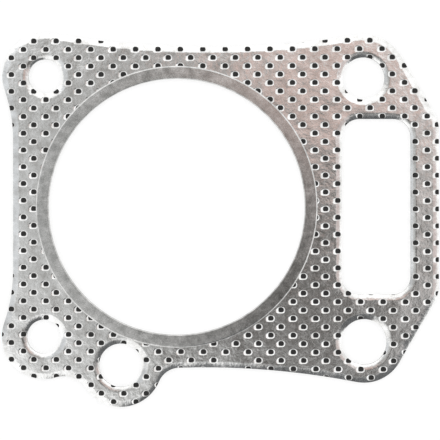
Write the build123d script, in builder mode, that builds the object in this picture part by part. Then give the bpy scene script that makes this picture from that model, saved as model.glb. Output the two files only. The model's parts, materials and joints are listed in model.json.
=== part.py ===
from build123d import *
import os
from math import ceil, cos, radians, sin, sqrt

os.makedirs("parts", exist_ok=True)

# Cylinder head gasket: two perforated metal skins pressed onto a fibre core, with a
# folded fire ring round the bore. The bore's axis is Z, the lower face of the ring is at
# Z = 0, the bore's centre is the origin, and the pushrod side is towards +X.

# Thicknesses of the layers
skin_thickness = 0.2
core_thickness = 0.8
ring_strip = 0.2

# Fire ring
bore_radius = 34.5
flange_width = 3.45
ring_clearance = 0.3
fold_chamfer = 0.12

# Bolt and dowel holes: centre, hole radius, and the radius of the lobe around it
upper_left_x = -35.4
upper_left_y = 35.15
upper_left_hole = 4.62
upper_left_lobe = 11.65
lower_left_x = -35.75
lower_left_y = -35.05
lower_left_hole = 4.62
lower_left_lobe = 11.4
upper_right_x = 50.35
upper_right_y = 34.6
upper_right_hole = 5.7
upper_right_lobe = 11.8
lower_right_x = 50.5
lower_right_y = -36.45
lower_right_hole = 6.15
lower_right_lobe = 11.0
ear_x = -15.07
ear_y = -42.76
ear_hole = 5.87
ear_lobe = 11.2

# Outline between the lobes
left_side_x = -44.14
right_side_x = 70.7
upper_waist_radius = 246.0
lower_waist_radius = 216.0
lower_waist_y = -43.3
upper_left_blend = 39.0
lower_left_blend = 43.0
ear_left_blend = 7.25
ear_right_blend = 6.0
flank_angle = 60.0
shoulder_radius = 8.0

# Pushrod slot
slot_centre_x = 53.8
slot_width = 18.6
slot_height = 47.35
slot_corner_radius = 4.8

# Perforations: staggered rows of openings, wide at the heel and narrow at the nose
perforation_pitch = 6.052
perforation_row_pitch = 2.2676
perforation_stagger = 2.767
first_perforation_x = -38.535
first_perforation_y = 44.774
opening_length = 1.34
heel_half_width = 0.58
nose_half_width = 0.46
rim_width = 0.22
heel_width = 0.5
nose_width = 0.28

# Levels of the layers
lower_skin_z = ring_strip
core_z = lower_skin_z + skin_thickness
upper_skin_z = core_z + core_thickness
sheet_top_z = upper_skin_z + skin_thickness
ring_height = sheet_top_z + ring_strip

# Centres of the holes and their lobes
upper_left = Vector(upper_left_x, upper_left_y)
lower_left = Vector(lower_left_x, lower_left_y)
upper_right = Vector(upper_right_x, upper_right_y)
lower_right = Vector(lower_right_x, lower_right_y)
ear = Vector(ear_x, ear_y)

# Radii round the bore
sheet_bore_radius = bore_radius + ring_strip + ring_clearance
flange_radius = bore_radius + flange_width


def meeting_centre(a, reach_a, b, reach_b):
    """Point at reach_a from a and reach_b from b, on the right of the way from a to b."""
    way = b - a
    span = way.length
    along = (reach_a**2 - reach_b**2 + span**2) / (2 * span)
    aside = sqrt(reach_a**2 - along**2)
    forward = way.normalized()
    right = Vector(forward.Y, -forward.X)
    return a + forward * along + right * aside


def on_lobe(centre, radius, towards):
    """Point of a lobe's circle that lies towards another point."""
    return centre + (towards - centre).normalized() * radius


# Centres of the hollow arcs, all outside the outline
upper_waist = meeting_centre(
    upper_right,
    upper_right_lobe + upper_waist_radius,
    upper_left,
    upper_left_lobe + upper_waist_radius,
)
upper_blend_x = left_side_x - upper_left_blend
upper_blend_drop = sqrt((upper_left_lobe + upper_left_blend) ** 2 - (upper_left.X - upper_blend_x) ** 2)
upper_blend = Vector(upper_blend_x, upper_left.Y - upper_blend_drop)
lower_blend_x = left_side_x - lower_left_blend
lower_blend_rise = sqrt((lower_left_lobe + lower_left_blend) ** 2 - (lower_left.X - lower_blend_x) ** 2)
lower_blend = Vector(lower_blend_x, lower_left.Y + lower_blend_rise)
ear_left = meeting_centre(lower_left, lower_left_lobe + ear_left_blend, ear, ear_lobe + ear_left_blend)
lower_waist_centre_y = lower_waist_y - lower_waist_radius
lower_waist_reach = lower_right_lobe + lower_waist_radius
lower_waist_run = sqrt(lower_waist_reach**2 - (lower_right.Y - lower_waist_centre_y) ** 2)
lower_waist = Vector(lower_right.X - lower_waist_run, lower_waist_centre_y)
ear_right = meeting_centre(lower_waist, lower_waist_radius - ear_right_blend, ear, ear_lobe + ear_right_blend)

# Ends of the straight flanks beside the right-hand lobes
flank_normal_angle = radians(90 - flank_angle)
upper_flank_start = upper_right + Vector(cos(flank_normal_angle), sin(flank_normal_angle)) * upper_right_lobe
lower_flank_start = lower_right + Vector(cos(flank_normal_angle), -sin(flank_normal_angle)) * lower_right_lobe
flank_slope = sin(radians(flank_angle)) / cos(radians(flank_angle))
upper_shoulder = Vector(
    right_side_x,
    upper_flank_start.Y - (right_side_x - upper_flank_start.X) * flank_slope,
)
lower_shoulder = Vector(
    right_side_x,
    lower_flank_start.Y + (right_side_x - lower_flank_start.X) * flank_slope,
)

# Points where one stretch of the outline runs into the next
upper_waist_right = on_lobe(upper_right, upper_right_lobe, upper_waist)
upper_waist_left = on_lobe(upper_left, upper_left_lobe, upper_waist)
upper_blend_start = on_lobe(upper_left, upper_left_lobe, upper_blend)
left_side_top = Vector(left_side_x, upper_blend.Y)
left_side_bottom = Vector(left_side_x, lower_blend.Y)
lower_blend_end = on_lobe(lower_left, lower_left_lobe, lower_blend)
ear_left_start = on_lobe(lower_left, lower_left_lobe, ear_left)
ear_left_end = on_lobe(ear, ear_lobe, ear_left)
ear_right_start = on_lobe(ear, ear_lobe, ear_right)
lower_waist_left = on_lobe(lower_waist, lower_waist_radius, ear_right)
lower_waist_right = on_lobe(lower_right, lower_right_lobe, lower_waist)

# One outline shared by the three layers
with BuildSketch() as sheet:
    with BuildLine():
        RadiusArc(upper_waist_right, upper_waist_left, upper_waist_radius)
        RadiusArc(upper_waist_left, upper_blend_start, -upper_left_lobe)
        RadiusArc(upper_blend_start, left_side_top, upper_left_blend)
        Line(left_side_top, left_side_bottom)
        RadiusArc(left_side_bottom, lower_blend_end, lower_left_blend)
        RadiusArc(lower_blend_end, ear_left_start, -lower_left_lobe)
        RadiusArc(ear_left_start, ear_left_end, ear_left_blend)
        RadiusArc(ear_left_end, ear_right_start, -ear_lobe)
        RadiusArc(ear_right_start, lower_waist_left, ear_right_blend)
        RadiusArc(lower_waist_left, lower_waist_right, lower_waist_radius)
        RadiusArc(lower_waist_right, lower_flank_start, -lower_right_lobe)
        FilletPolyline(
            lower_flank_start,
            lower_shoulder,
            upper_shoulder,
            upper_flank_start,
            radius=shoulder_radius,
        )
        RadiusArc(upper_flank_start, upper_waist_right, -upper_right_lobe)
    make_face()
    Circle(sheet_bore_radius, mode=Mode.SUBTRACT)
    with Locations(upper_left):
        Circle(upper_left_hole, mode=Mode.SUBTRACT)
    with Locations(lower_left):
        Circle(lower_left_hole, mode=Mode.SUBTRACT)
    with Locations(upper_right):
        Circle(upper_right_hole, mode=Mode.SUBTRACT)
    with Locations(lower_right):
        Circle(lower_right_hole, mode=Mode.SUBTRACT)
    with Locations(ear):
        Circle(ear_hole, mode=Mode.SUBTRACT)
    with Locations((slot_centre_x, 0)):
        RectangleRounded(slot_width, slot_height, slot_corner_radius, mode=Mode.SUBTRACT)


# Perforations run right across the sheet, where the outline and the holes cut through them.
# Those with two or more corners off the sheet or under the ring's flange are left out.
opening_half = opening_length / 2
mouth_left = -opening_half - heel_width
mouth_right = opening_half + nose_width
side_slope = (heel_half_width - nose_half_width) / opening_length
mouth_heel_half = heel_half_width + rim_width + heel_width * side_slope
mouth_nose_half = nose_half_width + rim_width - nose_width * side_slope
mouth = [
    (mouth_left, mouth_heel_half),
    (mouth_left, -mouth_heel_half),
    (mouth_right, -mouth_nose_half),
    (mouth_right, mouth_nose_half),
]
opening = [
    (-opening_half, heel_half_width),
    (-opening_half, -heel_half_width),
    (opening_half, -nose_half_width),
    (opening_half, nose_half_width),
]
mouth_corners = [(x, y, sheet_top_z) for x, y in mouth]
opening_corners = [(x, y, upper_skin_z) for x, y in opening]

sheet_face = sheet.sketch.faces()[0]
outline_box = sheet_face.bounding_box()
row_count = ceil((first_perforation_y - outline_box.min.Y) / perforation_row_pitch) + 1
column_count = ceil(outline_box.size.X / perforation_pitch) + 1
corners_needed = len(mouth) - 1
places = []
for row in range(row_count):
    row_start = first_perforation_x - perforation_stagger * (row % 2)
    for column in range(-1, column_count):
        place = Vector(
            row_start + column * perforation_pitch,
            first_perforation_y - row * perforation_row_pitch,
        )
        corners = [place + Vector(*corner) for corner in mouth]
        clear_of_ring = [corner for corner in corners if corner.length > flange_radius]
        if len(clear_of_ring) < corners_needed:
            continue
        on_sheet = sum(sheet_face.is_inside(corner) for corner in clear_of_ring)
        if on_sheet >= corners_needed:
            places.append(place)

# Upper skin, with sloping rims that narrow each perforation from its mouth to the core
with BuildPart() as upper_skin:
    with BuildSketch(Plane.XY.offset(upper_skin_z)):
        add(sheet.sketch)
    extrude(amount=skin_thickness)
    with Locations(*places):
        ConvexPolyhedron(mouth_corners + opening_corners, mode=Mode.SUBTRACT)
upper_skin.part.label = "upper_skin"
export_step(upper_skin.part, "parts/upper_skin.step")

# Core sheet between the skins
with BuildPart() as core:
    with BuildSketch(Plane.XY.offset(core_z)):
        add(sheet.sketch)
    extrude(amount=core_thickness)
core.part.label = "core"
export_step(core.part, "parts/core.step")

# Lower skin
with BuildPart() as lower_skin:
    with BuildSketch(Plane.XY.offset(lower_skin_z)):
        add(sheet.sketch)
    extrude(amount=skin_thickness)
lower_skin.part.label = "lower_skin"
export_step(lower_skin.part, "parts/lower_skin.step")

# Fire ring: strip folded into a U round the bore edge of the sheet, its fold eased
with BuildPart() as fire_ring:
    with BuildSketch(Plane.XZ):
        with BuildLine():
            Polyline(
                (flange_radius, 0),
                (bore_radius, 0),
                (bore_radius, ring_height),
                (flange_radius, ring_height),
                (flange_radius, sheet_top_z),
                (bore_radius + ring_strip, sheet_top_z),
                (bore_radius + ring_strip, lower_skin_z),
                (flange_radius, lower_skin_z),
                close=True,
            )
        make_face()
    revolve(axis=Axis.Z)
    fold_face = fire_ring.faces().filter_by(GeomType.CYLINDER).sort_by(SortBy.RADIUS)[0]
    chamfer(fold_face.edges().filter_by(GeomType.CIRCLE), length=fold_chamfer)
fire_ring.part.label = "fire_ring"
export_step(fire_ring.part, "parts/fire_ring.step")
print("perforations", len(places))
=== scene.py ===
# %% [markdown]
# # A cylinder head gasket
#
# The gasket is a flat sandwich: a dark fibre core between two skins of bright tinplate, and
# a steel strip folded round the bore. Hundreds of small perforations are punched through
# the skins, and pressing and cutting leaves every edge of the sheet rolled over a little.
# The measured model gives the outline and the sizes. This script builds the finer shapes
# and the finishes on it, so the first step is to load that model.
#
# Blender counts in metres. Places and pitches are given in metres too, by way of MM, and the
# small sizes of a punch, a fold or a finish in millimetres.

# %% Load the measured model
import json
import math
import bpy
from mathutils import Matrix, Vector


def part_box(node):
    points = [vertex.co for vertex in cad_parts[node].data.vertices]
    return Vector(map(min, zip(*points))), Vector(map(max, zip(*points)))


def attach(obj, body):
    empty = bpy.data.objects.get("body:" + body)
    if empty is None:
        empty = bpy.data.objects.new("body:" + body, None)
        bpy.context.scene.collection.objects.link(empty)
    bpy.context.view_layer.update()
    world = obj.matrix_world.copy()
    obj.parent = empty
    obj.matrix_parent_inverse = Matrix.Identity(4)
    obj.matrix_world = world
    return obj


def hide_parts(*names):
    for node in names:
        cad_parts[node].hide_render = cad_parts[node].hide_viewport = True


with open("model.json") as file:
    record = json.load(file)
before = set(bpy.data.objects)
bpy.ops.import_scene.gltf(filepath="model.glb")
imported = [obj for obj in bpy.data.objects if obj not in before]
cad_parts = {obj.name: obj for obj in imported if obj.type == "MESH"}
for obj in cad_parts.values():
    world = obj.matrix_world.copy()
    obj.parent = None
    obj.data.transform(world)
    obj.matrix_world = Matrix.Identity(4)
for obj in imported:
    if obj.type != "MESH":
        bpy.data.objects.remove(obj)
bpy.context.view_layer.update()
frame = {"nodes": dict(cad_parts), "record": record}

MM = 0.001


def in_mm(lengths):
    return [round(length / MM, 2) for length in lengths]


nodes = frame["nodes"]
for node_name in sorted(nodes):
    low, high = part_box(node_name)
    print(node_name, "from", in_mm(low), "to", in_mm(high), "mm")

# %% [markdown]
# ## Helpers for editing
#
# An edit operator acts on whatever is selected, so each step starts by selecting one piece
# and then only the faces or points that it shapes. Choosing them by where they lie and which
# way they face keeps the script readable: nobody has to know the number of a face.
#
# Points that lie within a thousandth of a millimetre of each other count as one.

# %% Select one piece, its faces or its points
SELECT_MODES = {"faces": "FACE", "edges": "EDGE", "points": "VERT"}
TOUCHING = 0.001 * MM


def take(piece):
    if bpy.context.mode != "OBJECT":
        bpy.ops.object.mode_set(mode="OBJECT")
    bpy.ops.object.select_all(action="DESELECT")
    piece.select_set(True)
    bpy.context.view_layer.objects.active = piece


def everything(*place):
    return True


def pick(piece, domain, wanted):
    """Leaves the piece in edit mode, with its wanted faces, edges or points selected."""
    take(piece)
    bpy.ops.object.mode_set(mode="EDIT")
    bpy.ops.mesh.select_mode(type=SELECT_MODES[domain])
    bpy.ops.mesh.select_all(action="DESELECT")
    bpy.ops.object.mode_set(mode="OBJECT")
    mesh = piece.data
    if domain == "faces":
        for face in mesh.polygons:
            face.select = wanted(face.center, face.normal)
    elif domain == "points":
        for point in mesh.vertices:
            point.select = wanted(point.co)
    else:
        for edge in mesh.edges:
            start, end = (mesh.vertices[i].co for i in edge.vertices)
            edge.select = wanted(start, end)
    bpy.ops.object.mode_set(mode="EDIT")


def apply_all(piece):
    take(piece)
    for modifier in list(piece.modifiers):
        bpy.ops.object.modifier_apply(modifier=modifier.name)


def triangles(piece):
    return sum(len(face.vertices) - 2 for face in piece.data.polygons)


# %% [markdown]
# ## Smooth shading
#
# A point's smooth normal is the mean of the faces round it, so a narrow bend makes the flat
# metal beside it look bent too. The Weighted Normal modifier lets the largest face decide,
# which keeps the flats flat in the light.

# %% Shade a piece
SMOOTH_ANGLE = math.radians(42)
RING_SMOOTH_ANGLE = math.radians(50)


def shade(piece, angle):
    take(piece)
    bpy.ops.object.shade_smooth_by_angle(angle=angle)
    bpy.ops.object.modifier_add(type="WEIGHTED_NORMAL")
    piece.modifiers[-1].keep_sharp = True
    apply_all(piece)
    print(piece.name, "has", triangles(piece), "triangles")


# %% [markdown]
# ## The layers, with their pinched edges
#
# Cutting pinches the sandwich: the skins curve in towards each other along the outline and
# round each hole. That soft slope catches the light and gives the gasket its pale and dark
# borders.
#
# The outline could be drawn again, but the measured core already has it. The top face of a
# copy of the core is kept and laid at the sandwich's half thickness. Insetting it step by
# step adds narrow strips along every edge, and lifting each inset a little bends the strips
# into the slope. The strips get steeper towards the cut, as sheared metal does. Each step has
# its width and its drop in millimetres, from the cut inwards.

# %% Bend the face of the sandwich
PINCH_STEPS = [(0.2, 0.052), (0.35, 0.062), (0.4, 0.046), (0.4, 0.03), (0.3, 0.014)]

top_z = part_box("upper_skin")[1].z
upper_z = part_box("upper_skin")[0].z
lower_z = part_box("lower_skin")[1].z
bottom_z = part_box("lower_skin")[0].z
middle_z = (top_z + bottom_z) / 2
half_thickness = top_z - middle_z
full_drop = sum(drop for _, drop in PINCH_STEPS) * MM
slope_width = sum(width for width, _ in PINCH_STEPS) * MM


def bent_face():
    face = bpy.data.objects.new("bent_face", nodes["core"].data.copy())
    bpy.context.scene.collection.objects.link(face)
    face.data.materials.clear()
    core_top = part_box("core")[1].z
    pick(face, "faces", everything)
    bpy.ops.mesh.remove_doubles(threshold=TOUCHING)
    pick(face, "points", lambda place: place.z < core_top - TOUCHING)
    bpy.ops.mesh.delete(type="VERT")
    pick(face, "faces", everything)
    bpy.ops.mesh.dissolve_limited(angle_limit=math.radians(1))
    bpy.ops.transform.translate(value=(0, 0, half_thickness - full_drop - core_top))
    for width, drop in PINCH_STEPS:
        bpy.ops.mesh.inset(thickness=width * MM, depth=drop * MM, use_even_offset=True)
    bpy.ops.object.mode_set(mode="OBJECT")
    return face


sandwich_face = bent_face()
print("edge", round(2 * (half_thickness - full_drop) / MM, 2), "mm thick,",
      "slope", round(slope_width / MM, 2), "mm wide")

# %% [markdown]
# The slope isn't the same everywhere. It is full round the holes, and flatter along the near
# and left sides of the outline than on the far side. The record of the part says where the
# holes are, so a point within reach of one is left alone, and the drop of any other is eased
# by the side of the sheet that it lies on.

# %% Ease the slope along the outline
record = frame["record"]
bores = [mount for mount in record["mounts"] if mount["kind"] == "bore"]
slot_low, slot_high = (Vector(corner) for corner in record["physics"]["openings"][0]["box_m"])
FULL_SLOPE_SIDE = Vector((0.5, 0.87))
EASED_SHARE = 0.62
EASING_START = -0.1
EASING_SPAN = 0.6
SLOPE_MARGIN = 1.05
sheet_low, sheet_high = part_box("core")
sheet_middle = (sheet_low + sheet_high).xy / 2
print([(bore["name"], bore["dims"]["r_mm"]) for bore in bores])


def slope_share(place):
    """Gives the share of the full drop that a point of the bent face keeps."""
    reach = slope_width * SLOPE_MARGIN
    if any((place.xy - Vector(bore["pos_m"]).xy).length < bore["dims"]["r_mm"] * MM + reach
           for bore in bores):
        return 1.0
    if (slot_low.x - reach < place.x < slot_high.x + reach
            and slot_low.y - reach < place.y < slot_high.y + reach):
        return 1.0
    side = (place.xy - sheet_middle).normalized().dot(FULL_SLOPE_SIDE)
    amount = min(max((side - EASING_START) / EASING_SPAN, 0.0), 1.0)
    return EASED_SHARE + (1 - EASED_SHARE) * amount


for point in sandwich_face.data.vertices:
    point.co.z = half_thickness - (half_thickness - point.co.z) * slope_share(point.co)

# %% [markdown]
# Every layer is the same bent face at two heights, one for its underside and one for its top.
# A copy is squeezed to the height of the underside, extruded, and the new face squeezed to
# the height of the top, all measured from the middle of the sandwich. So the layers fit
# together without a gap.

# %% Build the three layers
def make_layer(name, low_z, high_z):
    layer = bpy.data.objects.new(name, sandwich_face.data.copy())
    bpy.context.scene.collection.objects.link(layer)
    low_share = (low_z - middle_z) / half_thickness
    high_share = (high_z - middle_z) / half_thickness
    pick(layer, "faces", everything)
    bpy.ops.transform.resize(value=(1, 1, low_share), center_override=(0, 0, 0))
    bpy.ops.mesh.extrude_region_move(TRANSFORM_OT_translate={"value": (0, 0, 0)})
    bpy.ops.transform.resize(value=(1, 1, high_share / low_share), center_override=(0, 0, 0))
    bpy.ops.mesh.select_all(action="SELECT")
    bpy.ops.transform.translate(value=(0, 0, middle_z))
    bpy.ops.mesh.normals_make_consistent(inside=False)
    bpy.ops.object.mode_set(mode="OBJECT")
    print(name, "has", triangles(layer), "triangles")
    return layer


upper_sheet = make_layer("upper_sheet", upper_z, top_z)
core_sheet = make_layer("core_sheet", lower_z, upper_z)
lower_sheet = make_layer("lower_sheet", bottom_z, lower_z)
bpy.data.objects.remove(sandwich_face)

# %% [markdown]
# ## One punch
#
# Each perforation is a small opening with a flat heel on one side and a round nose on the
# other. The punch draws the skin down around it before it breaks through. The metal bends
# from the flat in a soft shoulder and gets steeper all the way to the opening. The shoulder
# reaches furthest out at the heel and least on the far side.
#
# The tool that cuts it is modelled once: a plane the size of the opening gets its corners
# rounded, each by its own amount. Extruding it upwards and widening it each time gives a
# plug with the shape of the drawn metal. Seen from the side, that shape is a parabola: its
# depth falls with the square of the way left to the flat. The widest stage stands clear of
# the sheet by a hair, so that the cut never runs along the flat, and the head well clear.

# %% Sizes of the perforations
PITCH = 6.052 * MM
ROW_PITCH = 2.2676 * MM
STAGGER = 2.767 * MM
FIRST_PLACE = Vector((-38.535 * MM, 44.774 * MM, 0))
OPENING_HALF_SIZE = Vector((0.7, 0.605))
OPENING_CORNERS = [(-1, -1, 0.34), (-1, 1, 0.48), (1, -1, 0.45), (1, 1, 0.58)]
HEEL_REACH = 0.8
NOSE_REACH = 0.42
NEAR_REACH = 0.38
FAR_REACH = 0.26
DRAWN_DEPTH = 0.2
PUNCH_START = -0.45
HAIR = 0.0015
PUNCH_HEAD = (0.06, 1.06)
CORNER_SEGMENTS = 3
SHARES_OF_REACH = (0.0, 0.12, 0.3, 0.5, 0.7, 0.88, 1.0)
PUNCH_STAGES = [(HAIR - DRAWN_DEPTH * (1 - share) ** 2, share) for share in SHARES_OF_REACH]
PUNCH_STAGES.append(PUNCH_HEAD)


# %% Build the punch
flat_marker = bpy.data.materials.new("flat_marker")
drawn_marker = bpy.data.materials.new("drawn_marker")


def make_punch():
    bpy.ops.object.select_all(action="DESELECT")
    bpy.ops.mesh.primitive_plane_add(size=2, location=(0, 0, 0))
    tool = bpy.context.active_object
    tool.name = "punch"
    half_size, centre, height = OPENING_HALF_SIZE.copy(), Vector((0, 0)), PUNCH_START
    pick(tool, "points", everything)
    bpy.ops.transform.resize(value=(half_size.x * MM, half_size.y * MM, 1))
    bpy.ops.transform.translate(value=(0, 0, height * MM))
    for side_x, side_y, rounding in OPENING_CORNERS:
        corner = Vector((side_x * half_size.x, side_y * half_size.y)) * MM
        pick(tool, "points", lambda place: (place.xy - corner).length < TOUCHING)
        bpy.ops.mesh.bevel(affect="VERTICES", offset=rounding * MM, segments=CORNER_SEGMENTS)
    bpy.ops.mesh.select_mode(type="FACE")
    bpy.ops.mesh.select_all(action="SELECT")
    for level, share in PUNCH_STAGES:
        heel, nose, near, far = (
            share * reach for reach in (HEEL_REACH, NOSE_REACH, NEAR_REACH, FAR_REACH))
        new_half_size = OPENING_HALF_SIZE + Vector((heel + nose, near + far)) / 2
        new_centre = Vector((nose - heel, far - near)) / 2
        bpy.ops.mesh.extrude_region_move(
            TRANSFORM_OT_translate={"value": (0, 0, (level - height) * MM)})
        bpy.ops.transform.resize(
            value=(new_half_size.x / half_size.x, new_half_size.y / half_size.y, 1),
            center_override=(*(centre * MM), level * MM))
        bpy.ops.transform.translate(value=(*((new_centre - centre) * MM), 0))
        half_size, centre, height = new_half_size, new_centre, level
    bpy.ops.mesh.select_all(action="SELECT")
    bpy.ops.mesh.normals_make_consistent(inside=False)
    bpy.ops.object.mode_set(mode="OBJECT")
    for marker in (flat_marker, drawn_marker):
        tool.data.materials.append(marker)
    for face in tool.data.polygons:
        face.material_index = 1
    return tool


punch = make_punch()
print("punch", len(punch.data.polygons), "faces,", in_mm(punch.dimensions), "mm")

# %% [markdown]
# ## The lattice of perforations
#
# The perforated strip is made before the gasket is cut from it, so the lattice runs straight
# across the outline: the openings near an edge are cut in half. The ring is folded on
# afterwards and hides the ones below its flange. A loop walks along the staggered rows and
# keeps each place where the plug would touch the sheet, which a ray cast at the sheet tells.
# Where no more than a sliver of an opening would lie on the sheet, the place is moved
# outwards until its opening is clear of the sheet.
#
# The rows aren't quite straight: the lattice is moved by a few tenths of a millimetre at each
# corner of the sheet, and in between in proportion. One place of it stays blank.

# %% Stretch the lattice
NEAR_LEFT_SHIFT = Vector((0.02 * MM, 0.34 * MM, 0))
NEAR_RIGHT_SHIFT = Vector((0.29 * MM, -0.25 * MM, 0))
FAR_LEFT_SHIFT = Vector((0.01 * MM, -0.12 * MM, 0))
FAR_RIGHT_SHIFT = Vector((-0.22 * MM, 0.19 * MM, 0))
BLANK_PLACE = Vector((15.93 * MM, -41.4 * MM, 0))
BLANK_REACH = 1 * MM


def stretched(place):
    across = (place.x - sheet_low.x) / (sheet_high.x - sheet_low.x)
    along = (place.y - sheet_low.y) / (sheet_high.y - sheet_low.y)
    near_shift = NEAR_LEFT_SHIFT.lerp(NEAR_RIGHT_SHIFT, across)
    far_shift = FAR_LEFT_SHIFT.lerp(FAR_RIGHT_SHIFT, across)
    return place + near_shift.lerp(far_shift, along)


# %% Find the places
flange_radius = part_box("fire_ring")[1].x
plug_xs = (-(OPENING_HALF_SIZE.x + HEEL_REACH) * MM, (OPENING_HALF_SIZE.x + NOSE_REACH) * MM)
plug_ys = (-(OPENING_HALF_SIZE.y + NEAR_REACH) * MM, (OPENING_HALF_SIZE.y + FAR_REACH) * MM)
plug_corners = [Vector((x, y, 0)) for x in plug_xs for y in plug_ys]
SPOT_SHARES_X = (-0.95, -0.6, -0.3, 0, 0.3, 0.6, 0.95)
SPOT_SHARES_Y = (-0.7, -0.35, 0, 0.35, 0.7)
opening_spots = [Vector((x * OPENING_HALF_SIZE.x, y * OPENING_HALF_SIZE.y, 0)) * MM
                 for x in SPOT_SHARES_X for y in SPOT_SHARES_Y]
SLIVER_SHARE = 0.22
CLEARING_STEP = 0.03
ABOVE = Vector((0, 0, 1))
DOWN = Vector((0, 0, -1))


def on_sheet(sheet, spots):
    return [spot for spot in spots if sheet.ray_cast(spot + ABOVE, DOWN)[0]]


def cleared(sheet, place):
    """Moves a place off the sheet if only a sliver of its opening lies on it."""
    covered = on_sheet(sheet, [place + spot for spot in opening_spots])
    if not 0 < len(covered) < SLIVER_SHARE * len(opening_spots):
        return place
    outwards = (place - sum(covered, Vector()) / len(covered)).normalized()
    while on_sheet(sheet, [place + spot for spot in opening_spots]):
        place = place + outwards * CLEARING_STEP * MM
    return place


def lattice_places(sheet, first_place):
    places = []
    row = 0
    while first_place.y - row * ROW_PITCH > sheet_low.y - ROW_PITCH:
        x = first_place.x - (row % 2) * STAGGER
        while x - PITCH > sheet_low.x - PITCH:
            x -= PITCH
        while x < sheet_high.x + PITCH:
            place = Vector((x, first_place.y - row * ROW_PITCH, 0))
            x += PITCH
            if (place - BLANK_PLACE).length < BLANK_REACH:
                continue
            place = stretched(place)
            corners = [place + corner for corner in plug_corners]
            if on_sheet(sheet, [corner for corner in corners if corner.length > flange_radius]):
                places.append(cleared(sheet, place))
        row += 1
    return places


upper_places = lattice_places(upper_sheet, FIRST_PLACE)
print(len(upper_places), "perforations touch the upper sheet")


# %% [markdown]
# ## Punching a sheet
#
# Every place gets its own copy of the punch. Joined into one object, the copies are
# subtracted from the sheet by a single Boolean modifier, which is quicker than hundreds of
# separate cuts. For the lower sheet the punch is turned upside down.
#
# The flat metal between the perforations must stay flat in the light, however small the
# faces beside it. So the punch wears a second material, which the Boolean hands on to the
# faces that it makes. They are selected by it, and a sharp edge round them keeps the two
# surfaces apart.

# %% Join the punches and subtract them
def joined_punches(places, side, surface_z):
    """Joins a copy of the punch for every place. With side -1 it works from below."""
    copies = []
    for place in places:
        mesh = punch.data.copy()
        copies.append(bpy.data.objects.new("punch_copy", mesh))
        bpy.context.scene.collection.objects.link(copies[-1])
        for point in mesh.vertices:
            point.co = Vector((point.co.x, point.co.y, point.co.z * side + surface_z)) + place
        if side < 0:
            mesh.flip_normals()
    take(copies[0])
    for copy in copies:
        copy.select_set(True)
    bpy.ops.object.join()
    return bpy.context.active_object


def subtract(sheet, cutters):
    take(sheet)
    bpy.ops.object.modifier_add(type="BOOLEAN")
    cut = sheet.modifiers[-1]
    cut.operation = "DIFFERENCE"
    cut.solver = "EXACT"
    cut.object = cutters
    apply_all(sheet)
    bpy.data.objects.remove(cutters)


# %% Punch the upper sheet
LEVEL_NORMAL = 0.99999


def punch_sheet(sheet, places, side, surface_z):
    cutters = joined_punches(places, side, surface_z)
    for marker in (flat_marker, drawn_marker):
        sheet.data.materials.append(marker)
    subtract(sheet, cutters)
    pick(sheet, "faces", lambda centre, normal: normal.z * side > LEVEL_NORMAL)
    bpy.ops.mesh.dissolve_limited(angle_limit=math.radians(0.5))
    bpy.ops.mesh.select_all(action="DESELECT")
    sheet.active_material_index = 1
    bpy.ops.object.material_slot_select()
    print(sum(face.material_index == 1 for face in sheet.data.polygons), "drawn faces")
    bpy.ops.mesh.region_to_loop()
    bpy.ops.mesh.mark_sharp()
    shade(sheet, SMOOTH_ANGLE)


punch_sheet(upper_sheet, upper_places, 1, top_z)

# %% [markdown]
# The lower skin is hidden from above. It gets a lattice of the same pitch, shifted against
# the upper one, since two separate strips would hardly line up.

# %% Punch the lower sheet
LOWER_SHIFT = Vector((2.0 * MM, -0.9 * MM, 0))
lower_places = lattice_places(lower_sheet, FIRST_PLACE + LOWER_SHIFT)
punch_sheet(lower_sheet, lower_places, -1, bottom_z)
bpy.data.objects.remove(punch)
for marker in (flat_marker, drawn_marker):
    bpy.data.materials.remove(marker)

shade(core_sheet, SMOOTH_ANGLE)

# %% [markdown]
# ## The fire ring
#
# The ring keeps the flame off the fibre. It is one thin strip of steel, folded round the
# bore's edge so that it grips the sandwich from both sides. Its fold is round, because a
# sharp one would crack, and the edges of its two flanges are pressed down into the skins.
#
# A rectangle with the ring's outer section is opened on the side away from the bore. The
# two corners at the bore are rounded, and the ends bend towards the sheet. Spinning that
# line round the bore's axis gives the outer surface, and Solidify gives it the strip's
# thickness on the inside.

# %% Sizes of the ring
FOLD_RADIUS = 0.28
FOLD_SEGMENTS = 6
LIP_WIDTH = 0.36
LIP_DROP = 0.12
LIP_SHARES = (0.2, 0.55, 1.0)
STRIP_THICKNESS = 0.2
SPIN_STEPS = 240
SEAM_GAP = 0.002 * MM
STEP_GAP = 0.01 * MM
ring_low, ring_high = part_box("fire_ring")
ring_bore = next(bore for bore in bores if bore["name"] == "cylinder_bore")
bore_radius = ring_bore["dims"]["r_mm"] * MM
print("bore radius", round(bore_radius / MM, 2), "mm")


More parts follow.
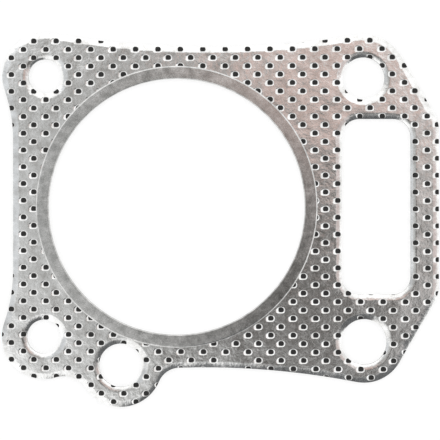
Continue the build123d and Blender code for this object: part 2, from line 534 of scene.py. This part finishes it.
# %% Build the ring
def make_ring():
    bpy.ops.object.select_all(action="DESELECT")
    bpy.ops.mesh.primitive_plane_add(size=1)
    ring = bpy.context.active_object
    ring.name = "ring"
    width = ring_high.x - bore_radius
    height = ring_high.z - ring_low.z
    middle = Vector(((ring_high.x + bore_radius) / 2, 0, (ring_high.z + ring_low.z) / 2))
    pick(ring, "points", everything)
    bpy.ops.transform.rotate(value=math.pi / 2, orient_axis="X", center_override=(0, 0, 0))
    bpy.ops.transform.resize(value=(width, 1, height), center_override=(0, 0, 0))
    bpy.ops.transform.translate(value=middle)
    bpy.ops.mesh.delete(type="ONLY_FACE")
    outer = ring_high.x - TOUCHING
    pick(ring, "edges", lambda start, end: min(start.x, end.x) > outer)
    bpy.ops.mesh.delete(type="EDGE")
    pick(ring, "points", lambda place: place.x < middle.x)
    bpy.ops.mesh.bevel(affect="VERTICES", offset=FOLD_RADIUS * MM, segments=FOLD_SEGMENTS)
    for side in (1, -1):
        pick(ring, "points", lambda place: place.x > outer and (place.z - middle.z) * side > 0)
        bpy.ops.transform.translate(value=(-LIP_WIDTH * MM, 0, 0))
        for _ in LIP_SHARES:
            bpy.ops.mesh.extrude_region_move(
                TRANSFORM_OT_translate={"value": (LIP_WIDTH / len(LIP_SHARES) * MM, 0, 0)})
        for step, share in enumerate(LIP_SHARES, 1):
            step_x = ring_high.x - LIP_WIDTH * (1 - step / len(LIP_SHARES)) * MM
            pick(ring, "points", lambda place: abs(place.x - step_x) < STEP_GAP
                 and (place.z - middle.z) * side > 0)
            bpy.ops.transform.translate(value=(0, 0, -side * LIP_DROP * share * MM))
    pick(ring, "points", everything)
    bpy.ops.mesh.spin(steps=SPIN_STEPS, angle=math.tau, center=(0, 0, 0), axis=(0, 0, 1))
    bpy.ops.mesh.select_all(action="SELECT")
    bpy.ops.mesh.remove_doubles(threshold=SEAM_GAP)
    bpy.ops.mesh.normals_make_consistent(inside=False)
    bpy.ops.object.mode_set(mode="OBJECT")
    return ring


ring = make_ring()
print("ring shell", len(ring.data.polygons), "faces,", in_mm(ring.dimensions), "mm")

# %% [markdown]
# The shell is open towards the sheet, so "outwards" isn't certain for it. The fold faces the
# bore's axis: if a face there points away from the axis, the whole shell is flipped before
# Solidify adds the thickness on the far side.

# %% Give the ring its thickness
inner_face = min(ring.data.polygons, key=lambda face: Vector(face.center[:2]).length)
if Vector(inner_face.center[:2]).dot(Vector(inner_face.normal[:2])) > 0:
    ring.data.flip_normals()
take(ring)
bpy.ops.object.modifier_add(type="SOLIDIFY")
ring.modifiers[-1].thickness = STRIP_THICKNESS * MM
ring.modifiers[-1].offset = -1
ring.modifiers[-1].use_even_offset = True
apply_all(ring)
shade(ring, RING_SMOOTH_ANGLE)

# %% [markdown]
# ## Tinplate
#
# Tinplate is steel with a thin bright coat of tin. It mirrors what is around it, slightly
# blurred and faintly mottled. A metal's Base Color is the colour of its reflection, so the
# mottling goes there and into Roughness, and a weak Bump gives the sheet the shallow waves
# that bend the reflections.

# %% Helpers for materials
def new_material(name):
    material = bpy.data.materials.new(name)
    material.use_nodes = True
    tree = material.node_tree
    tree.nodes.clear()
    shader = tree.nodes.new("ShaderNodeBsdfPrincipled")
    output = tree.nodes.new("ShaderNodeOutputMaterial")
    tree.links.new(shader.outputs["BSDF"], output.inputs["Surface"])
    return material, tree, shader


def object_noise(tree, size_mm, detail=2.0, fineness=0.5, stretch=(1, 1, 1)):
    """Noise whose lumps are about size_mm wide on the piece."""
    place = tree.nodes.new("ShaderNodeTexCoord")
    mapping = tree.nodes.new("ShaderNodeMapping")
    mapping.inputs["Scale"].default_value = stretch
    noise = tree.nodes.new("ShaderNodeTexNoise")
    noise.inputs["Scale"].default_value = 1 / (size_mm * MM)
    noise.inputs["Detail"].default_value = detail
    noise.inputs["Roughness"].default_value = fineness
    tree.links.new(place.outputs["Object"], mapping.inputs["Vector"])
    tree.links.new(mapping.outputs["Vector"], noise.inputs["Vector"])
    return noise.outputs["Fac"]


def ramp(tree, source, stops):
    """Turns a source from 0 to 1 into colours, each stop a position and a colour."""
    node = tree.nodes.new("ShaderNodeValToRGB")
    for _ in stops[2:]:
        node.color_ramp.elements.new(0.5)
    for element, (position, colour) in zip(node.color_ramp.elements, stops):
        element.position = position
        element.color = (*colour, 1)
    tree.links.new(source, node.inputs["Fac"])
    return node.outputs["Color"]


def spread(tree, source, low, high, out_low, out_high):
    """Stretches source from low and high to out_low and out_high."""
    node = tree.nodes.new("ShaderNodeMapRange")
    node.inputs["From Min"].default_value = low
    node.inputs["From Max"].default_value = high
    node.inputs["To Min"].default_value = out_low
    node.inputs["To Max"].default_value = out_high
    tree.links.new(source, node.inputs["Value"])
    return node.outputs["Result"]


def bump(tree, shader, source, height_mm, under=None):
    """Bends the shader's normals by source, on top of another bump if there is one under it."""
    node = tree.nodes.new("ShaderNodeBump")
    node.inputs["Strength"].default_value = 1
    node.inputs["Distance"].default_value = height_mm * MM
    tree.links.new(source, node.inputs["Height"])
    if under:
        tree.links.new(under, node.inputs["Normal"])
    tree.links.new(node.outputs["Normal"], shader.inputs["Normal"])
    return node.outputs["Normal"]


# %% Make the tinplate
HANDLED_TIN = (0.62, 0.61, 0.595)
CLEAN_TIN = (0.80, 0.80, 0.79)
BRIGHT_TIN = (0.95, 0.95, 0.945)
MOTTLE_SIZE = 3.2
GRAIN_SIZE = 0.6
GRAIN_HEIGHT = 0.012
WAVE_SIZE = 7.0
WAVE_HEIGHT = 0.12


def tinplate(name):
    material, tree, shader = new_material(name)
    mottle = object_noise(tree, MOTTLE_SIZE, detail=6, fineness=0.72)
    colour = ramp(tree, mottle, [(0.34, HANDLED_TIN), (0.5, CLEAN_TIN), (0.66, BRIGHT_TIN)])
    tree.links.new(colour, shader.inputs["Base Color"])
    shader.inputs["Metallic"].default_value = 1.0
    grain = object_noise(tree, GRAIN_SIZE, detail=3)
    rough = spread(tree, grain, 0.3, 0.7, 0.09, 0.15)
    tree.links.new(rough, shader.inputs["Roughness"])
    waves = object_noise(tree, WAVE_SIZE, detail=4)
    wavy = bump(tree, shader, waves, WAVE_HEIGHT)
    bump(tree, shader, grain, GRAIN_HEIGHT, under=wavy)
    return material


upper_tin = tinplate("tin_upper")
lower_tin = tinplate("tin_lower")

# %% [markdown]
# ## Ring steel and fibre
#
# The ring's strip is plain steel with a satin finish. Rolling leaves fine lines along the
# strip, and folded round the bore they run in circles. Noise that is read by the distance
# from the bore's axis gives such lines.
#
# The core is pressed fibre, nearly black and quite dull. Its short fibres show as a fine
# uneven grain.

# %% Make the ring steel
DARK_STEEL = (0.43, 0.43, 0.42)
PALE_STEEL = (0.77, 0.765, 0.755)
STEEL_PATCH_SIZE = 2.2
ROLLED_LINE_WIDTH = 0.12
ROLLED_LINE_HEIGHT = 0.004


def ring_steel(name):
    material, tree, shader = new_material(name)
    place = tree.nodes.new("ShaderNodeTexCoord")
    flat = tree.nodes.new("ShaderNodeVectorMath")
    flat.operation = "MULTIPLY"
    flat.inputs[1].default_value = (1, 1, 0)
    reach = tree.nodes.new("ShaderNodeVectorMath")
    reach.operation = "LENGTH"
    lines = tree.nodes.new("ShaderNodeTexNoise")
    lines.noise_dimensions = "1D"
    lines.inputs["Scale"].default_value = 1 / (ROLLED_LINE_WIDTH * MM)
    lines.inputs["Detail"].default_value = 2
    tree.links.new(place.outputs["Object"], flat.inputs[0])
    tree.links.new(flat.outputs["Vector"], reach.inputs[0])
    tree.links.new(reach.outputs["Value"], lines.inputs["W"])
    patches = object_noise(tree, STEEL_PATCH_SIZE, detail=6, fineness=0.75)
    colour = ramp(tree, patches, [(0.34, DARK_STEEL), (0.66, PALE_STEEL)])
    tree.links.new(colour, shader.inputs["Base Color"])
    shader.inputs["Metallic"].default_value = 1.0
    rough = spread(tree, patches, 0.3, 0.7, 0.11, 0.17)
    tree.links.new(rough, shader.inputs["Roughness"])
    bump(tree, shader, lines.outputs["Fac"], ROLLED_LINE_HEIGHT)
    return material


# %% Make the fibre
BLACK_FIBRE = (0.008, 0.008, 0.008)
GREY_FIBRE = (0.028, 0.027, 0.026)
FIBRE_SIZE = 0.25
FIBRE_STRETCH = (1, 1, 3)
FIBRE_HEIGHT = 0.05
FIBRE_ROUGHNESS = 0.85


def fibre(name):
    material, tree, shader = new_material(name)
    fibres = object_noise(tree, FIBRE_SIZE, detail=4, stretch=FIBRE_STRETCH)
    colour = ramp(tree, fibres, [(0.3, BLACK_FIBRE), (0.7, GREY_FIBRE)])
    tree.links.new(colour, shader.inputs["Base Color"])
    shader.inputs["Roughness"].default_value = FIBRE_ROUGHNESS
    bump(tree, shader, fibres, FIBRE_HEIGHT)
    return material


ring_metal = ring_steel("steel_satin")
core_fibre = fibre("fibre_dark")

# %% [markdown]
# ## Hand the pieces over
#
# Each piece takes its finish, rides on the part's one body and stands for the plain measured
# solid, which is then hidden.

# %% Finish, ride and replace
for piece, material, node, slot in (
        (upper_sheet, upper_tin, "upper_skin", "upper_tinplate"),
        (core_sheet, core_fibre, "core", "fibre_core"),
        (lower_sheet, lower_tin, "lower_skin", "lower_tinplate"),
        (ring, ring_metal, "fire_ring", "ring_steel")):
    piece.data.materials.clear()
    piece.data.materials.append(material)
    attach(piece, "root")
    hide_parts(node)
    nodes[node].data.materials.clear()
    nodes[node].data.materials.append(material)
    print(piece.name, "stands for", node)

# %% [markdown]
# ## A white tent round the gasket
#
# Polished sheet is hard to light: it shows whatever faces it. In a photographer's light tent
# everything is white except the opening for the camera, right above the part. Flat metal
# mirrors that greyer opening, and every slope mirrors the white sides and turns bright.
# The World makes the same tent. Its colour depends on the direction alone: white all round,
# brightest on the far side and shaded on the near side, and greyer near the top, with the
# dark camera and a warm patch of the room behind it. Towards the horizon the cloth gets
# less light, so that from the side the metal still stands out from the paper.
#
# Each patch of the tent is given by the x and y of its direction from the part, its reach in
# x and y, its colour, and the share of its reach over which it is full. A later patch lies
# over the earlier ones. The Mix node has sockets of one name for numbers, for vectors and for
# colours, so the ones for colours are picked by their place in the list.

# %% Lay patches on a tent
MIX_UNDER, MIX_OVER, MIX_COLOUR = 6, 7, 2
ENDLESS = 1000


def add_patch(tree, way, under, centre, reach, colour, full_share):
    """Lays a patch of colour over what is there, full out to a share of its reach."""
    place = tree.nodes.new("ShaderNodeMapping")
    place.vector_type = "TEXTURE"
    place.inputs["Location"].default_value = (*centre, 0)
    place.inputs["Scale"].default_value = (*reach, ENDLESS)
    tree.links.new(way, place.inputs["Vector"])
    away = tree.nodes.new("ShaderNodeVectorMath")
    away.operation = "LENGTH"
    tree.links.new(place.outputs["Vector"], away.inputs[0])
    fade = tree.nodes.new("ShaderNodeMapRange")
    fade.interpolation_type = "SMOOTHSTEP"
    fade.inputs["From Min"].default_value = full_share
    fade.inputs["From Max"].default_value = 1
    fade.inputs["To Min"].default_value = 1
    fade.inputs["To Max"].default_value = 0
    tree.links.new(away.outputs["Value"], fade.inputs["Value"])
    mix = tree.nodes.new("ShaderNodeMix")
    mix.data_type = "RGBA"
    tree.links.new(fade.outputs["Result"], mix.inputs["Factor"])
    tree.links.new(under, mix.inputs[MIX_UNDER])
    mix.inputs[MIX_OVER].default_value = (*colour, 1)
    return mix.outputs[MIX_COLOUR]


# %% Light the tent
TENT_WHITE = (1.18, 1.18, 1.18)
FAR_LIGHT = ((-0.1, 0.42), (0.5, 0.38), (1.35, 1.35, 1.35), 0.5)
NEAR_SHADE = ((0.17, -0.4), (0.28, 0.38), (0.145, 0.15, 0.155), 0.72)
LEFT_WALL = ((-0.29, 0.05), (0.25, 0.2), (0.73, 0.75, 0.77), 0.5)
WARM_WALL = ((0.22, 0.0), (0.19, 0.11), (0.68, 0.57, 0.55), 0.3)
OPENING = ((0.0, 0.015), (0.19, 0.185), (0.57, 0.575, 0.57), 0.6)
TENT_SEAM = ((-0.04, 0.085), (0.09, 0.06), (0.3, 0.29, 0.28), 0.1)
WARM_ROOM = ((0.06, 0.08), (0.09, 0.075), (0.75, 0.555, 0.5), 0.3)
DARK_LENS = ((0.038, -0.038), (0.1, 0.107), (0.123, 0.115, 0.109), 0.35)
PATCHES = (FAR_LIGHT, NEAR_SHADE, LEFT_WALL, WARM_WALL, OPENING, TENT_SEAM, WARM_ROOM, DARK_LENS)
HORIZON_HEIGHT, HORIZON_STRENGTH = 0.4, 0.64
CLOTH_HEIGHT, CLOTH_STRENGTH = 0.66, 1.0


def tent():
    world = bpy.data.worlds.new("light_tent")
    bpy.context.scene.world = world
    world.use_nodes = True
    tree = world.node_tree
    tree.nodes.clear()
    background = tree.nodes.new("ShaderNodeBackground")
    output = tree.nodes.new("ShaderNodeOutputWorld")
    tree.links.new(background.outputs["Background"], output.inputs["Surface"])
    way = tree.nodes.new("ShaderNodeTexCoord").outputs["Generated"]
    cloth = tree.nodes.new("ShaderNodeRGB")
    cloth.outputs["Color"].default_value = (*TENT_WHITE, 1)
    colour = cloth.outputs["Color"]
    for patch in PATCHES:
        colour = add_patch(tree, way, colour, *patch)
    tree.links.new(colour, background.inputs["Color"])
    parts = tree.nodes.new("ShaderNodeSeparateXYZ")
    tree.links.new(way, parts.inputs["Vector"])
    strength = spread(tree, parts.outputs["Z"], HORIZON_HEIGHT, CLOTH_HEIGHT,
                      HORIZON_STRENGTH, CLOTH_STRENGTH)
    tree.links.new(strength, background.inputs["Strength"])
    print("tent with", len(PATCHES), "patches")


tent()

# %% [markdown]
# ## The floor
#
# The gasket lies on a plain white sheet. A flat plane, wide enough to run out of every view,
# is all it takes. For rays that come from the camera or from the polished metal a glow is
# added, so that the paper reads as clean white there and keeps only a soft shadow.

# %% Make the paper
DIM_PAPER = (0.32, 0.32, 0.32)
PALE_PAPER = (0.34, 0.34, 0.34)
PAPER_GRAIN_SIZE = 1.5
PAPER_ROUGHNESS = 0.9
HIDDEN_GLOW = 0.35
SEEN_GLOW = 0.72


def white_paper():
    material, tree, shader = new_material("white_paper")
    grain = object_noise(tree, PAPER_GRAIN_SIZE, detail=2)
    colour = ramp(tree, grain, [(0.3, DIM_PAPER), (0.7, PALE_PAPER)])
    tree.links.new(colour, shader.inputs["Base Color"])
    shader.inputs["Roughness"].default_value = PAPER_ROUGHNESS
    shader.inputs["Emission Color"].default_value = (1, 1, 1, 1)
    ray = tree.nodes.new("ShaderNodeLightPath")
    seen = tree.nodes.new("ShaderNodeMath")
    seen.operation = "MAXIMUM"
    tree.links.new(ray.outputs["Is Camera Ray"], seen.inputs[0])
    tree.links.new(ray.outputs["Is Glossy Ray"], seen.inputs[1])
    glow = spread(tree, seen.outputs["Value"], 0, 1, HIDDEN_GLOW, SEEN_GLOW)
    tree.links.new(glow, shader.inputs["Emission Strength"])
    return material


# %% Lay the floor
FLOOR_SIZE = 6

bpy.ops.object.select_all(action="DESELECT")
bpy.ops.mesh.primitive_plane_add(size=FLOOR_SIZE, location=(0, 0, 0))
floor = bpy.context.active_object
floor.name = "floor"
floor.data.materials.append(white_paper())
print("floor", FLOOR_SIZE, "m wide")

# %% [markdown]
# ## The camera
#
# The camera looks straight down from half a metre. Near enough to see a sliver of each
# hole's far wall, it shows the thickness of the sheet. The lens follows from the width that
# the picture takes in at the height of the sheet.

# %% Place the camera
PICTURE_PIXELS = 440
MM_PER_PIXEL = 0.2695
PICTURE_WIDTH = PICTURE_PIXELS * MM_PER_PIXEL * MM
PICTURE_CENTRE = Vector((11.67 * MM, -3.58 * MM, 0))
CAMERA_HEIGHT = 500 * MM
SENSOR_WIDTH = 36.0
NEAREST_SEEN = 0.01
FARTHEST_SEEN = 20.0

camera_data = bpy.data.cameras.new("camera")
camera = bpy.data.objects.new("camera", camera_data)
bpy.context.scene.collection.objects.link(camera)
camera.location = PICTURE_CENTRE + Vector((0, 0, top_z + CAMERA_HEIGHT))
camera.rotation_euler = (0, 0, 0)
camera_data.sensor_width = SENSOR_WIDTH
camera_data.lens = camera_data.sensor_width * CAMERA_HEIGHT / PICTURE_WIDTH
camera_data.clip_start = NEAREST_SEEN
camera_data.clip_end = FARTHEST_SEEN
bpy.context.scene.camera = camera
bpy.context.scene.view_settings.view_transform = "Standard"
print("lens", round(camera_data.lens, 1), "mm")
